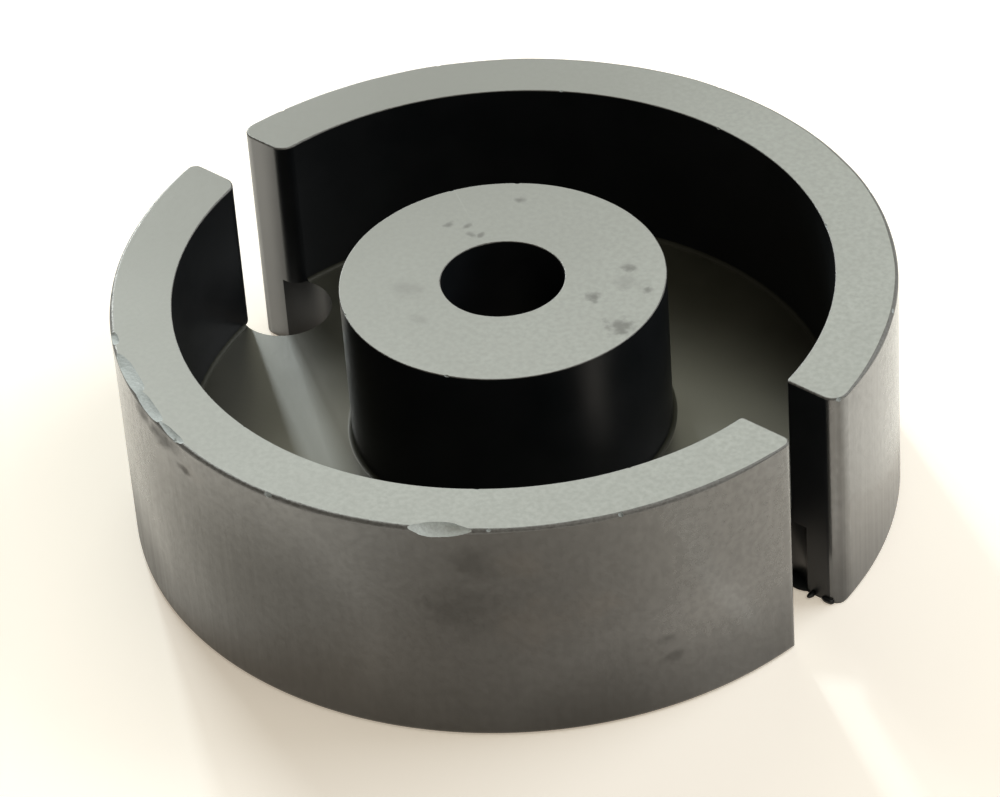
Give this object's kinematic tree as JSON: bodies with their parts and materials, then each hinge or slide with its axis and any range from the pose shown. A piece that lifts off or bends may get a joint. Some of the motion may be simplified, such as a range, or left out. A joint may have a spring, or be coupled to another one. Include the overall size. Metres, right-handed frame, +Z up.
{
  "type": "ferrite pot core half",
  "caption": "Round ferrite cup with a bored centre post and wire slots through the skirt, half of a pot core that carries the flux of a coil wound round the post.",
  "frame": {"origin": "centre of the base, on the surface that the core half stands on", "axes": "+Z up along the bore and the post to the mating face, the wire slots on the X axis"},
  "size_m": [0.0476, 0.048, 0.0157],
  "materials": {
    "ferrite": "as-fired semi-matt sides and floor, ground satin mating faces"
  },
  "bodies": {
    "root": {"core_half": "ferrite"}
  },
  "joints": []
}
